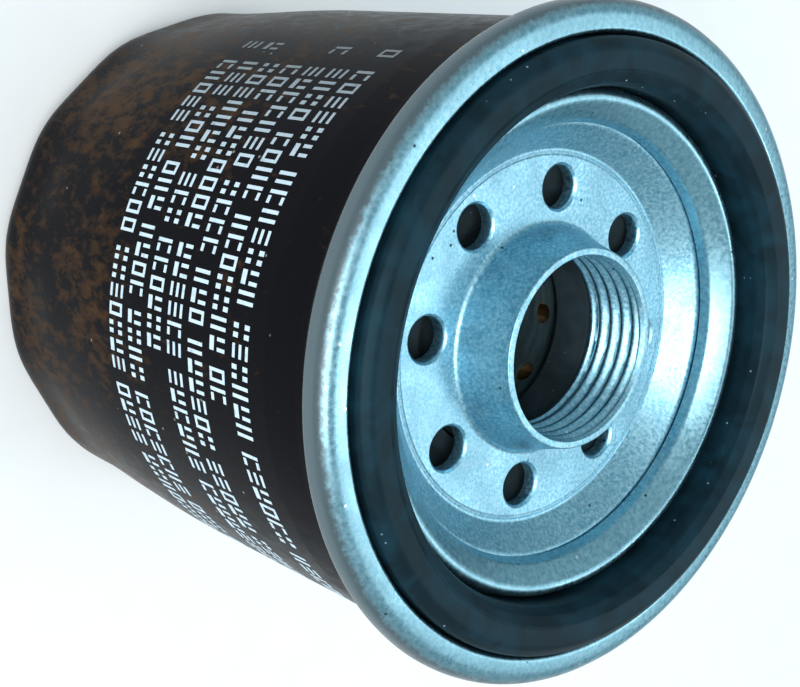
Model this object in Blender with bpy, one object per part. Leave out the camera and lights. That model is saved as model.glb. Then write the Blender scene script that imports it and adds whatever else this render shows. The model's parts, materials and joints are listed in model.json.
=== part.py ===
"""Spin-on oil filter for a small engine, as the separate pieces it is assembled from.

The filter stands on its closed end: the origin is the centre of that flat face, +Z runs along
the axis to the base plate, its threaded hub and the gasket. Every outline below is a section
through one piece, as (radius, height) points in millimetres that are turned about the axis.
"""

import math

import bmesh
import bpy

MM = 0.001
GAP = 0.3  # left between pieces that touch on the real filter

# Driving dimensions, in millimetres.
CAN_RADIUS = 32.2
NECK_RADIUS = 32.0
NECK_WALL = 0.35
CAN_WALL = 0.45
END_RADIUS = 31.4  # the wall tapers to this near the closed end
END_CORNER = 4.0
TAPER_TOP = 29.0
FLUTES = 14
FLUTE_DEPTH = 0.35
FLUTE_TOP = 15.0
FLUTE_TURN = 10.7  # degrees from +X to the first land between flutes

PLATE_HEIGHT = 60.5  # top face of the inlet-hole ring
PLATE_THICKNESS = 1.6
PLATE_RING_RADIUS = 19.3
FLANGE_HEIGHT = PLATE_HEIGHT + 2.7
FLANGE_RADIUS = 30.3
BORE_RADIUS = 9.25  # minor radius of the M20 x 1.5 thread
HUB_MOUTH_RADIUS = 10.15
HUB_FOOT_RADIUS = 11.6
HUB_HEIGHT = PLATE_HEIGHT + 5.85
INLET_HOLES = 8
INLET_HOLE_RADIUS = 2.25
INLET_CIRCLE_RADIUS = 15.5

LID_SHEET = 0.35
LID_HOLE_RADIUS = 22.3
LID_CREST_RADIUS = 24.75
RIM_RADIUS = 34.3
RIM_HEIGHT = PLATE_HEIGHT + 8.0
RIM_WIDTH = 3.3
GROOVE_HEIGHT = FLANGE_HEIGHT + GAP + LID_SHEET

GASKET_INNER_RADIUS = 25.95
GASKET_OUTER_RADIUS = 30.7
GASKET_HEIGHT = PLATE_HEIGHT + 9.4

ELEMENT_BOTTOM = 7.2  # underside of the lower end cap
ELEMENT_TOP = 53.0  # top face of the upper end cap
CAP_SHEET = 0.4
CAP_RADIUS = 28.3
POTTING = 1.4
TUBE_RADIUS = 11.7
TUBE_WALL = 0.5
PLEATS = 30
PLEAT_INNER_RADIUS = 13.3
PLEAT_OUTER_RADIUS = 27.3
PAPER = 0.5

BYPASS_HOLE_RADIUS = 6.5
POPPET_RADIUS = 8.4
CAGE_RADIUS = 9.7
CAGE_TOP = 19.9


def clear_scene():
    for existing in list(bpy.data.objects):
        bpy.data.objects.remove(existing, do_unlink=True)


def material(name, colour, roughness, metallic):
    """A Principled material; colour is linear red, green and blue."""
    made = bpy.data.materials.new(name)
    made.use_nodes = True
    shader = made.node_tree.nodes["Principled BSDF"]
    shader.inputs["Base Color"].default_value = (*colour, 1.0)
    shader.inputs["Roughness"].default_value = roughness
    shader.inputs["Metallic"].default_value = metallic
    return made


def finish(mesh_data, name, look):
    """Writes a bmesh to a named object with its material, shaded smooth up to 35 degrees."""
    bmesh.ops.recalc_face_normals(mesh_data, faces=mesh_data.faces)
    mesh = bpy.data.meshes.new(name)
    mesh_data.to_mesh(mesh)
    mesh_data.free()
    mesh.shade_smooth()
    mesh.set_sharp_from_angle(angle=math.radians(35))
    mesh.materials.append(look)
    made = bpy.data.objects.new(name, mesh)
    bpy.context.scene.collection.objects.link(made)
    return made


def arc(centre, radius, start, end, steps):
    """Points on an arc, with its angles in degrees from the +radius direction."""
    angles = [math.radians(start + (end - start) * i / steps) for i in range(steps + 1)]
    return [(centre[0] + radius * math.cos(a), centre[1] + radius * math.sin(a)) for a in angles]


def sheet(path, thickness):
    """The closed outline of sheet of even thickness that follows an open path, mitred at its bends."""
    sides = ([], [])
    for i, (x, y) in enumerate(path):
        before = path[max(i - 1, 0)]
        after = path[min(i + 1, len(path) - 1)]
        first = before if i else (2 * x - after[0], 2 * y - after[1])
        last = after if i < len(path) - 1 else (2 * x - before[0], 2 * y - before[1])
        a = math.atan2(y - first[1], x - first[0])
        b = math.atan2(last[1] - y, last[0] - x)
        turn = math.remainder(b - a, 2 * math.pi)
        normal = a + turn / 2 + math.pi / 2
        reach = thickness / 2 / math.cos(turn / 2)
        for side, sign in zip(sides, (1, -1)):
            side.append((x + sign * reach * math.cos(normal), y + sign * reach * math.sin(normal)))
    return sides[0] + sides[1][::-1]


def turned(name, outline, steps, look):
    """A solid of revolution about Z from a closed outline of (radius, height) points."""
    mesh_data = bmesh.new()
    points = [mesh_data.verts.new((r * MM, 0.0, z * MM)) for r, z in outline]
    edges = [mesh_data.edges.new(pair) for pair in zip(points, points[1:] + points[:1])]
    bmesh.ops.spin(
        mesh_data, geom=points + edges, cent=(0, 0, 0), axis=(0, 0, 1), angle=2 * math.pi, steps=steps
    )
    bmesh.ops.remove_doubles(mesh_data, verts=mesh_data.verts, dist=0.01 * MM)
    on_axis = [edge for edge in mesh_data.edges if not edge.link_faces]
    bmesh.ops.delete(mesh_data, geom=on_axis, context="EDGES")
    return finish(mesh_data, name, look)


def ring(name, inner, outer, bottom, top, steps, look):
    """A plain ring of rectangular section."""
    return turned(name, [(inner, bottom), (outer, bottom), (outer, top), (inner, top)], steps, look)


def extruded(name, outline, bottom, top, look):
    """A prism along Z from a closed outline of (x, y) points in millimetres."""
    mesh_data = bmesh.new()
    face = mesh_data.faces.new([mesh_data.verts.new((x * MM, y * MM, bottom * MM)) for x, y in outline])
    grown = bmesh.ops.extrude_face_region(mesh_data, geom=[face])["geom"]
    lifted = [item for item in grown if isinstance(item, bmesh.types.BMVert)]
    bmesh.ops.translate(mesh_data, verts=lifted, vec=(0, 0, (top - bottom) * MM))
    return finish(mesh_data, name, look)


def cylinder_cutter(name, radius, depth, sides, place, turn):
    """A cylinder that only cuts: it is never shown and is not a piece."""
    mesh_data = bmesh.new()
    bmesh.ops.create_cone(
        mesh_data,
        cap_ends=True,
        segments=sides,
        radius1=radius * MM,
        radius2=radius * MM,
        depth=depth * MM,
    )
    cutter = finish(mesh_data, name, material(name, (1, 0, 0), 0.5, 0))
    cutter.location = [value * MM for value in place]
    cutter.rotation_euler = turn
    cutter.hide_render = True
    cutter.display_type = "WIRE"
    return cutter


def cut(piece, cutter):
    modifier = piece.modifiers.new(cutter.name, "BOOLEAN")
    modifier.operation = "DIFFERENCE"
    modifier.solver = "EXACT"
    modifier.object = cutter


def make_can(look):
    """Deep-drawn shell: flat closed end, wrench flutes, straight wall and the hook of the seam."""
    hook = RIM_HEIGHT - 1.3
    inner = CAN_RADIUS - CAN_WALL
    neck = NECK_RADIUS
    corner = (END_RADIUS - END_CORNER, END_CORNER)
    outline = [(0, 0)]
    outline += arc(corner, END_CORNER, -90, 0, 4)
    outline += [
        (END_RADIUS, 0.55 * FLUTE_TOP),
        (END_RADIUS + 0.25, FLUTE_TOP),
        (CAN_RADIUS, TAPER_TOP),
        (CAN_RADIUS, RIM_HEIGHT - 11.0),
        (neck, RIM_HEIGHT - 6.0),
        (neck, hook - 0.4),
        (33.25, hook - 0.4),
        (33.25, hook - 0.7),
        (33.55, hook - 0.7),
        (33.55, hook),
        (neck - NECK_WALL, hook),
        (neck - NECK_WALL, RIM_HEIGHT - 6.0),
        (inner, RIM_HEIGHT - 11.0),
        (inner, TAPER_TOP),
        (END_RADIUS + 0.25 - CAN_WALL, FLUTE_TOP),
    ]
    outline += arc(corner, END_CORNER - CAN_WALL, 0, -90, 4)
    outline += [(0, CAN_WALL)]
    can = turned("can", outline, 4 * FLUTES, look)
    for vertex in can.data.vertices:
        x, y, z = vertex.co
        if math.hypot(x, y) < 30 * MM or z > 0.9 * FLUTE_TOP * MM:
            continue
        lobe = 0.5 - 0.5 * math.cos(FLUTES * (math.atan2(y, x) - math.radians(FLUTE_TURN)))
        shrink = 1 - lobe * FLUTE_DEPTH * MM / math.hypot(x, y)
        vertex.co = (x * shrink, y * shrink, z)
    return can


def make_seaming_lid(look):
    """Thin pressed lid: shoulder round the base plate, gasket groove and the rolled double seam."""
    low = GROOVE_HEIGHT - LID_SHEET / 2
    wall = RIM_RADIUS - RIM_WIDTH + LID_SHEET / 2
    outer = RIM_RADIUS - LID_SHEET / 2
    roll = (wall + outer) / 2
    roll_radius = (outer - wall) / 2
    roll_height = RIM_HEIGHT - LID_SHEET / 2 - roll_radius
    crest = (LID_CREST_RADIUS, PLATE_HEIGHT + 5.2)
    path = [(LID_HOLE_RADIUS + 0.1, low)]
    path += arc(crest, 0.7, 150, 0, 3)
    path += [(LID_CREST_RADIUS + 0.7, low + 0.3), (LID_CREST_RADIUS + 1.0, low)]
    path += [(wall - 0.4, low), (wall, low + 0.4)]
    path += arc((roll, roll_height), roll_radius, 180, 0, 4)
    path += [(outer, RIM_HEIGHT - 3.0), (outer - 0.4, RIM_HEIGHT - 3.35)]
    path += [(32.75, RIM_HEIGHT - 3.35), (32.75, RIM_HEIGHT - 2.1)]
    return turned("seaming_lid", sheet(path, LID_SHEET), 48, look)


def make_base_plate(look):
    """Thick pressed plate: flared threaded hub, ring of inlet holes, cone and outer flange."""
    under = PLATE_HEIGHT - PLATE_THICKNESS
    cone = FLANGE_HEIGHT - PLATE_HEIGHT
    shift = PLATE_THICKNESS * math.tan(math.radians(22))
    outline = [
        (BORE_RADIUS, under),
        (PLATE_RING_RADIUS + shift, under),
        (PLATE_RING_RADIUS + shift + cone, under + cone),
        (FLANGE_RADIUS, under + cone),
        (FLANGE_RADIUS, FLANGE_HEIGHT),
        (PLATE_RING_RADIUS + cone, FLANGE_HEIGHT),
        (PLATE_RING_RADIUS, PLATE_HEIGHT),
        (HUB_FOOT_RADIUS + 1.0, PLATE_HEIGHT),
        (HUB_FOOT_RADIUS + 0.2, PLATE_HEIGHT + 0.3),
        (HUB_FOOT_RADIUS - 0.1, PLATE_HEIGHT + 1.1),
        (HUB_MOUTH_RADIUS, HUB_HEIGHT),
        (BORE_RADIUS, HUB_HEIGHT),
    ]
    plate = turned("base_plate", outline, 48, look)
    for index in range(INLET_HOLES):
        angle = 2 * math.pi * index / INLET_HOLES
        place = (
            INLET_CIRCLE_RADIUS * math.cos(angle),
            INLET_CIRCLE_RADIUS * math.sin(angle),
            PLATE_HEIGHT - PLATE_THICKNESS / 2,
        )
        cut(plate, cylinder_cutter(f"inlet_cutter_{index}", INLET_HOLE_RADIUS, 4, 12, place, (0, 0, 0)))
    return plate


def make_sealing_gasket(look):
    """Rubber ring in the lid's groove, with a crowned top that ends in a narrow flat."""
    foot = GROOVE_HEIGHT + GAP
    outline = [
        (GASKET_INNER_RADIUS, foot),
        (GASKET_OUTER_RADIUS, foot),
        (GASKET_OUTER_RADIUS, GASKET_HEIGHT - 1.1),
        (GASKET_OUTER_RADIUS - 0.6, GASKET_HEIGHT - 0.35),
        (GASKET_OUTER_RADIUS - 1.6, GASKET_HEIGHT),
        (GASKET_INNER_RADIUS + 1.6, GASKET_HEIGHT),
        (GASKET_INNER_RADIUS + 0.6, GASKET_HEIGHT - 0.35),
        (GASKET_INNER_RADIUS, GASKET_HEIGHT - 1.1),
    ]
    return turned("sealing_gasket", outline, 48, look)


def make_seam_compound(look):
    """Bead of sealing compound between the can's hook and the lid's hook."""
    top = RIM_HEIGHT - 2.3
    return ring("seam_compound", 33.25, 33.55, top - 0.5, top, 40, look)


def make_anti_drain_collar(look):
    """Rubber collar between the plate and the element, whose inside shows below the thread."""
    top = PLATE_HEIGHT - PLATE_THICKNESS - GAP
    return ring("anti_drain_collar", 9.9, 12.5, ELEMENT_TOP + GAP, top, 32, look)


def make_anti_drain_flap(look):
    """Rubber skirt that closes the inlet holes from below and bends away under inlet pressure."""
    lip = PLATE_HEIGHT - PLATE_THICKNESS - GAP
    outline = sheet([(13.0, lip - 2.6), (15.0, lip - 2.4), (18.6, lip - 0.75), (19.6, lip - 0.6)], 0.8)
    return turned("anti_drain_flap", outline, 32, look)


def make_end_caps(look):
    """Pressed caps that hold the pleats: the upper one open for the outlet, the lower for the bypass."""
    half = CAP_SHEET / 2
    upper = [(10.4, ELEMENT_TOP - half), (CAP_RADIUS - half, ELEMENT_TOP - half)]
    upper += [(CAP_RADIUS - half, ELEMENT_TOP - 3.5)]
    lower = [(BYPASS_HOLE_RADIUS, ELEMENT_BOTTOM + half), (CAP_RADIUS - half, ELEMENT_BOTTOM + half)]
    lower += [(CAP_RADIUS - half, ELEMENT_BOTTOM + 3.5)]
    turned("upper_end_cap", sheet(upper, CAP_SHEET), 40, look)
    turned("lower_end_cap", sheet(lower, CAP_SHEET), 40, look)


def make_potting(look):
    """Plastisol rings that bond the pleats' ends into the caps."""
    inner = TUBE_RADIUS + GAP
    outer = CAP_RADIUS - CAP_SHEET - GAP
    upper = ELEMENT_TOP - CAP_SHEET - GAP
    lower = ELEMENT_BOTTOM + CAP_SHEET + GAP
    ring("upper_plastisol", inner, outer, upper - POTTING, upper, 40, look)
    ring("lower_plastisol", inner, outer, lower, lower + POTTING, 40, look)


def make_pleated_media(look):
    """Folded filter paper as one strip, its two ends side by side where the clip joins them."""
    fold = 0.45
    first = math.radians(12)
    pitch = (2 * math.pi - 2 * first) / (PLEATS - 1)
    path = [(25.6, 0.5), (PLEAT_INNER_RADIUS + fold, 0.5)]
    for index in range(PLEATS):
        angle = first + pitch * index
        for radius, place in ((PLEAT_OUTER_RADIUS, angle), (PLEAT_INNER_RADIUS, angle + pitch / 2)):
            if radius == PLEAT_INNER_RADIUS and index == PLEATS - 1:
                continue
            for side in (-1, 1):
                swing = place + side * fold / radius
                path.append((radius * math.cos(swing), radius * math.sin(swing)))
    path += [(PLEAT_INNER_RADIUS + fold, -0.5), (25.6, -0.5)]
    low = ELEMENT_BOTTOM + CAP_SHEET + POTTING + 2 * GAP
    high = ELEMENT_TOP - CAP_SHEET - POTTING - 2 * GAP
    return extruded("pleated_media", sheet(path, PAPER), low, high, look)


def make_pleat_clip(look):
    """Folded steel channel that grips the two ends of the paper."""
    path = [(20.0, 1.25), (26.3, 1.25), (26.3, -1.25), (20.0, -1.25)]
    low = ELEMENT_BOTTOM + CAP_SHEET + POTTING + 2 * GAP
    high = ELEMENT_TOP - CAP_SHEET - POTTING - 2 * GAP
    return extruded("pleat_clip", sheet(path, 0.4), low, high, look)


def make_centre_tube(look):
    """Perforated steel tube that keeps the pleats from collapsing inwards."""
    low = ELEMENT_BOTTOM + CAP_SHEET + GAP
    high = ELEMENT_TOP - CAP_SHEET - GAP
    tube = ring("centre_tube", TUBE_RADIUS - TUBE_WALL, TUBE_RADIUS, low, high, 32, look)
    for level in range(4):
        for turn in range(3):
            angle = math.radians(60 * turn + 30 * (level % 2) + 5.6)
            name = f"perforation_cutter_{level}_{turn}"
            place = (0, 0, low + 14 + 7 * level)
            cutter = cylinder_cutter(name, 1.3, 40, 8, place, (math.pi / 2, 0, angle))
            cut(tube, cutter)
    return tube


def make_bypass_valve(steel, rubber, nylon):
    """Relief valve in the lower cap: seat seal, poppet on its stem, and the cage over its spring."""
    seat = ELEMENT_BOTTOM + CAP_SHEET + GAP
    ring("bypass_seal", BYPASS_HOLE_RADIUS + 0.3, 8.7, seat, seat + 0.7, 32, rubber)
    disc = seat + 0.7 + GAP
    poppet = [
        (0, disc),
        (POPPET_RADIUS, disc),
        (POPPET_RADIUS, disc + 0.6),
        (2.2, disc + 0.9),
        (1.5, disc + 1.6),
        (1.5, CAGE_TOP + 2.0),
        (0, CAGE_TOP + 2.0),
    ]
    turned("bypass_poppet", poppet, 24, nylon)
    wall = CAGE_RADIUS - 0.25
    path = [(10.8, seat + 0.25), (wall, seat + 0.25), (wall, CAGE_TOP - 0.25), (2.0, CAGE_TOP - 0.25)]
    cage = turned("bypass_cage", sheet(path, 0.5), 32, steel)
    for turn in range(2):
        name = f"cage_window_cutter_{turn}"
        place = (0, 0, (seat + CAGE_TOP) / 2)
        cut(cage, cylinder_cutter(name, 3.2, 30, 12, place, (math.pi / 2, 0, math.radians(90 * turn + 45))))


def coil(name, mean_radius, wire_radius, bottom, top, turns, steps_a_turn, look):
    """A coil spring as a capped tube along a helix whose end turns lie almost flat."""
    low = bottom + wire_radius
    high = top - wire_radius
    count = round(turns * steps_a_turn)
    curve = bpy.data.curves.new(name, "CURVE")
    curve.dimensions = "3D"
    curve.bevel_depth = wire_radius * MM
    curve.bevel_resolution = 1
    curve.use_fill_caps = True
    spline = curve.splines.new("POLY")
    spline.points.add(count)
    for index, point in enumerate(spline.points):
        share = index / count
        rise = share - math.sin(2 * math.pi * share) / (2 * math.pi) * 0.6
        angle = 2 * math.pi * turns * share
        x = mean_radius * math.cos(angle) * MM
        y = mean_radius * math.sin(angle) * MM
        point.co = (x, y, (low + (high - low) * rise) * MM, 1.0)
    curve.materials.append(look)
    made = bpy.data.objects.new(name, curve)
    bpy.context.scene.collection.objects.link(made)
    return made


def make_springs(look):
    """The bypass valve's coil inside its cage, and the coil that seats the whole element."""
    disc_top = ELEMENT_BOTTOM + CAP_SHEET + 2 * GAP + 0.7 + 0.6
    coil("bypass_spring", 5.2, 0.45, disc_top + 0.35 + GAP, CAGE_TOP - 0.5 - GAP, 4, 12, look)
    coil("element_spring", 11.0, 0.75, CAN_WALL + GAP, ELEMENT_BOTTOM - 0.4 - 2 * GAP, 2.5, 16, look)


def make_spring_cup(look):
    """Pressed washer with a lip that centres the element's spring under the lower cap."""
    top = ELEMENT_BOTTOM - GAP
    path = [(8.6, top - 0.2), (13.0, top - 0.2), (13.0, top - 1.7)]
    return turned("spring_cup", sheet(path, 0.4), 32, look)


def build():
    clear_scene()
    paint = material("black_painted_steel", (0.012, 0.009, 0.007), 0.28, 0.0)
    zinc = material("zinc_plated_steel", (0.42, 0.60, 0.64), 0.32, 1.0)
    rubber = material("nitrile_rubber", (0.012, 0.016, 0.02), 0.45, 0.0)
    compound = material("seam_compound", (0.25, 0.22, 0.18), 0.7, 0.0)
    steel = material("plain_steel", (0.35, 0.36, 0.37), 0.4, 1.0)
    paper = material("resin_paper", (0.55, 0.36, 0.12), 0.85, 0.0)
    plastisol = material("plastisol", (0.45, 0.08, 0.04), 0.5, 0.0)
    nylon = material("glass_filled_nylon", (0.02, 0.02, 0.022), 0.5, 0.0)
    spring_steel = material("spring_steel", (0.28, 0.27, 0.26), 0.3, 1.0)
    make_can(paint)
    make_seaming_lid(zinc)
    make_base_plate(zinc)
    make_sealing_gasket(rubber)
    make_seam_compound(compound)
    make_anti_drain_collar(rubber)
    make_anti_drain_flap(rubber)
    make_end_caps(steel)
    make_potting(plastisol)
    make_pleated_media(paper)
    make_pleat_clip(steel)
    make_centre_tube(steel)
    make_bypass_valve(steel, rubber, nylon)
    make_springs(spring_steel)
    make_spring_cup(steel)


build()
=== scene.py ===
# %% [markdown]
# # A spin-on oil filter for a small engine
# The frame gives every piece of the filter at its real size: a deep-drawn can, a pressed lid that is
# rolled over it, a thick base plate with a threaded hub, a rubber gasket, and the paper element with
# its valves inside. This lesson gives each of them its fine shape and its finish. The frame is loaded
# first, because every size and place below is read from it.

# %% Load the frame
import json
import math
import random

import bmesh
import bpy
from mathutils import Matrix, Vector

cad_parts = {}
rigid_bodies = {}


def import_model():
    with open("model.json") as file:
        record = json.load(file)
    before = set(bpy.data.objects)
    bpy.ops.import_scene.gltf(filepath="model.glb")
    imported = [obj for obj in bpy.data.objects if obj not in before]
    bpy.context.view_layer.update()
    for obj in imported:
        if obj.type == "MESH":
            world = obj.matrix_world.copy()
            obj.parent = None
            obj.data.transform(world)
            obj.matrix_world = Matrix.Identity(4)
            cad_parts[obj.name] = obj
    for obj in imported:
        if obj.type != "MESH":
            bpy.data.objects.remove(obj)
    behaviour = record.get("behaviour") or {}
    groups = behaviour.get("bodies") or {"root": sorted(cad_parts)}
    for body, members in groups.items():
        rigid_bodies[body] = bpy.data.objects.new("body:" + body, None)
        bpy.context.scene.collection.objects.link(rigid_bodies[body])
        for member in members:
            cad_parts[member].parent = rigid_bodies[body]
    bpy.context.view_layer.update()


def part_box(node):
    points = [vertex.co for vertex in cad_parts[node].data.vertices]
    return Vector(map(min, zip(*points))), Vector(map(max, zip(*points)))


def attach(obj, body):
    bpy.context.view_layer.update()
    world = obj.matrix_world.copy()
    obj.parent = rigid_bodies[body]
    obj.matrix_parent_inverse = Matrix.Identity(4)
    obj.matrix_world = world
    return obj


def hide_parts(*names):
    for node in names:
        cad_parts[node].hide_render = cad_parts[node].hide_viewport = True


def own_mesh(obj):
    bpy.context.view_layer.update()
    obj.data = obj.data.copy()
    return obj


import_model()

# %% [markdown]
# All outlines below are in millimetres, as (radius, height) points of a section through the axis,
# which is how a maker draws a turned or pressed part. One constant turns them to Blender's metres.
# A few sizes come straight from the frame's boxes: half of a round piece's width is its radius, and
# its lowest and highest points are heights above the closed end, where the filter stands.

# %% Sizes from the frame
MM = 0.001
PER_MM = 1000.0


def radius_of(node):
    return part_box(node)[1].y / MM


def low_of(node):
    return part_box(node)[0].z / MM


def high_of(node):
    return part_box(node)[1].z / MM


RIM_RADIUS = radius_of("seaming_lid")
RIM_HEIGHT = high_of("seaming_lid")
HUB_HEIGHT = high_of("base_plate")
PLATE_UNDERSIDE = low_of("base_plate")
PLATE_HEIGHT = PLATE_UNDERSIDE + 1.6
GASKET_HEIGHT = high_of("sealing_gasket")
GASKET_RADIUS = radius_of("sealing_gasket")
print("rim", round(2 * RIM_RADIUS, 1), "mm across, hub mouth at", round(HUB_HEIGHT, 1), "mm")

# %% [markdown]
# The camera comes first, so that every shape can be judged from the right place. It looks down at
# the base plate from in front, rolled until the filter's axis lies almost level in the picture. A
# small vertical shift keeps the filter centred without turning the camera away from it.

# %% Camera
CAMERA_PLACE = Vector((-20.2, -106.4, PLATE_HEIGHT + 98.4)) * MM
CAMERA_RIGHT = Vector((-0.1170, 0.7541, 0.6462))
CAMERA_BACK = Vector((-0.1317, -0.6567, 0.7425))
camera_data = bpy.data.cameras.new("product_camera")
camera_data.lens = 64.05
camera_data.sensor_width = 36.0
camera_data.shift_y = -0.0404
camera_data.clip_start = 0.01
camera = bpy.data.objects.new("product_camera", camera_data)
bpy.context.scene.collection.objects.link(camera)
camera_up = CAMERA_BACK.cross(CAMERA_RIGHT).normalized()
camera_back = CAMERA_BACK.normalized()
camera_turn = Matrix((camera_up.cross(camera_back), camera_up, camera_back)).transposed()
camera.matrix_world = Matrix.Translation(CAMERA_PLACE) @ camera_turn.to_4x4()
bpy.context.scene.camera = camera
print("camera", round(CAMERA_PLACE.length / MM), "mm from the middle of the closed end")

# %% [markdown]
# The studio is a large key softbox above and behind the camera, which whitens the faces that look
# at it, a paler panel on the far side for the flat plate to mirror, a small bright one inside it
# that draws a glint beside the hub, and a dim blue-grey room. Bare metal shows only what it
# reflects, so the darker room between the panels is what draws its shapes. The panels stay out of
# the camera's sight. Radiance is set rather than power, because it is what a mirror shows;
# Blender's power for a flat light is radiance times its area times pi.

# %% Lights and room
def colour(code):
    """An sRGB hex colour as linear red, green, blue and alpha."""
    parts = [int(code[i:i + 2], 16) / 255 for i in (1, 3, 5)]
    return (*[p / 12.92 if p <= 0.04045 else ((p + 0.055) / 1.055) ** 2.4 for p in parts], 1.0)


AIM = Vector((0, 0, PLATE_HEIGHT * MM))


def softbox(name, direction, distance, width, height, radiance, tint):
    """A rectangular panel that faces the base plate from a direction and shines evenly."""
    light = bpy.data.lights.new(name, "AREA")
    light.shape = "RECTANGLE"
    light.size = width
    light.size_y = height
    light.energy = radiance * math.pi * width * height
    light.color = colour(tint)[:3]
    panel = bpy.data.objects.new(name, light)
    towards = Vector(direction).normalized()
    panel.location = AIM + towards * distance
    panel.rotation_euler = towards.to_track_quat("Z", "Y").to_euler()
    panel.visible_camera = False
    bpy.context.scene.collection.objects.link(panel)
    return panel


softbox("key_softbox", (0.12, -0.62, 0.76), 0.8, 0.62, 0.52, 6.0, "#ffffff")
softbox("far_panel", (0.05, 0.60, 0.80), 0.9, 0.84, 0.60, 0.95, "#f4fbff")
softbox("plate_glint", (0.15, 0.58, 0.80), 0.9, 0.20, 0.16, 5.0, "#ffffff")
room = bpy.data.worlds.new("studio_room")
room.use_nodes = True
room.node_tree.nodes["Background"].inputs["Color"].default_value = colour("#b4c8cf")
room.node_tree.nodes["Background"].inputs["Strength"].default_value = 0.82
bpy.context.scene.world = room
bpy.context.scene.view_settings.view_transform = "Standard"

# %% [markdown]
# Every finish is a small network of nodes on a Principled shader. One helper adds a node with its
# properties and whatever feeds it, so that each network reads as a list. Patterns use Object
# coordinates, which are metres on the filter itself, so a scale of PER_MM / 2 gives features about
# 2 mm across.

# %% Node helper
def add(tree, kind, inputs=None, **settings):
    """Adds a node: settings are its properties, inputs are values or the sockets that feed it."""
    node = tree.nodes.new(kind)
    for name, value in settings.items():
        setattr(node, name, value)
    for key, value in (inputs or {}).items():
        if isinstance(value, bpy.types.NodeSocket):
            tree.links.new(value, node.inputs[key])
        else:
            node.inputs[key].default_value = value
    return node


FACTOR, FIRST, SECOND, MIXED = 0, 6, 7, 2  # sockets of a Mix node that mixes colours
LOW, HIGH, AT_LOW, AT_HIGH = 1, 2, 3, 4  # sockets of a Map Range node: its ends, and the results there


def new_finish(name, constants):
    """A material with constant shader values: (material, tree, shader, Object coordinates)."""
    made = bpy.data.materials.new(name)
    made.use_nodes = True
    tree = made.node_tree
    shader = tree.nodes["Principled BSDF"]
    for socket, value in constants.items():
        shader.inputs[socket].default_value = value
    return made, tree, shader, add(tree, "ShaderNodeTexCoord").outputs["Object"]


def flecks(tree, place, spacing_mm, edge, core, rarity, channel=0):
    """Rare round flecks, 1 at the core and 0 past the edge, at most one in each cell of a Voronoi grid."""
    cells = add(tree, "ShaderNodeTexVoronoi", {"Vector": place, "Scale": PER_MM / spacing_mm})
    chosen = add(tree, "ShaderNodeSeparateColor", {"Color": cells.outputs["Color"]}).outputs[channel]
    near = add(tree, "ShaderNodeMapRange", {"Value": cells.outputs["Distance"], LOW: edge, HIGH: core})
    rare = add(tree, "ShaderNodeMath", {0: chosen, 1: rarity}, operation="GREATER_THAN")
    both = add(tree, "ShaderNodeMath", {0: near.outputs[0], 1: rare.outputs[0]}, operation="MULTIPLY")
    return both.outputs[0]


def from_axis(tree, place):
    """A place flattened onto the closed end's plane, and its distance from the filter's axis."""
    flat = add(tree, "ShaderNodeVectorMath", {0: place, 1: (1, 1, 0)}, operation="MULTIPLY").outputs[0]
    return flat, add(tree, "ShaderNodeVectorMath", {0: flat}, operation="LENGTH").outputs["Value"]


print("black to white:", [round(colour(code)[0], 3) for code in ("#000000", "#808080", "#ffffff")])
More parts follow.
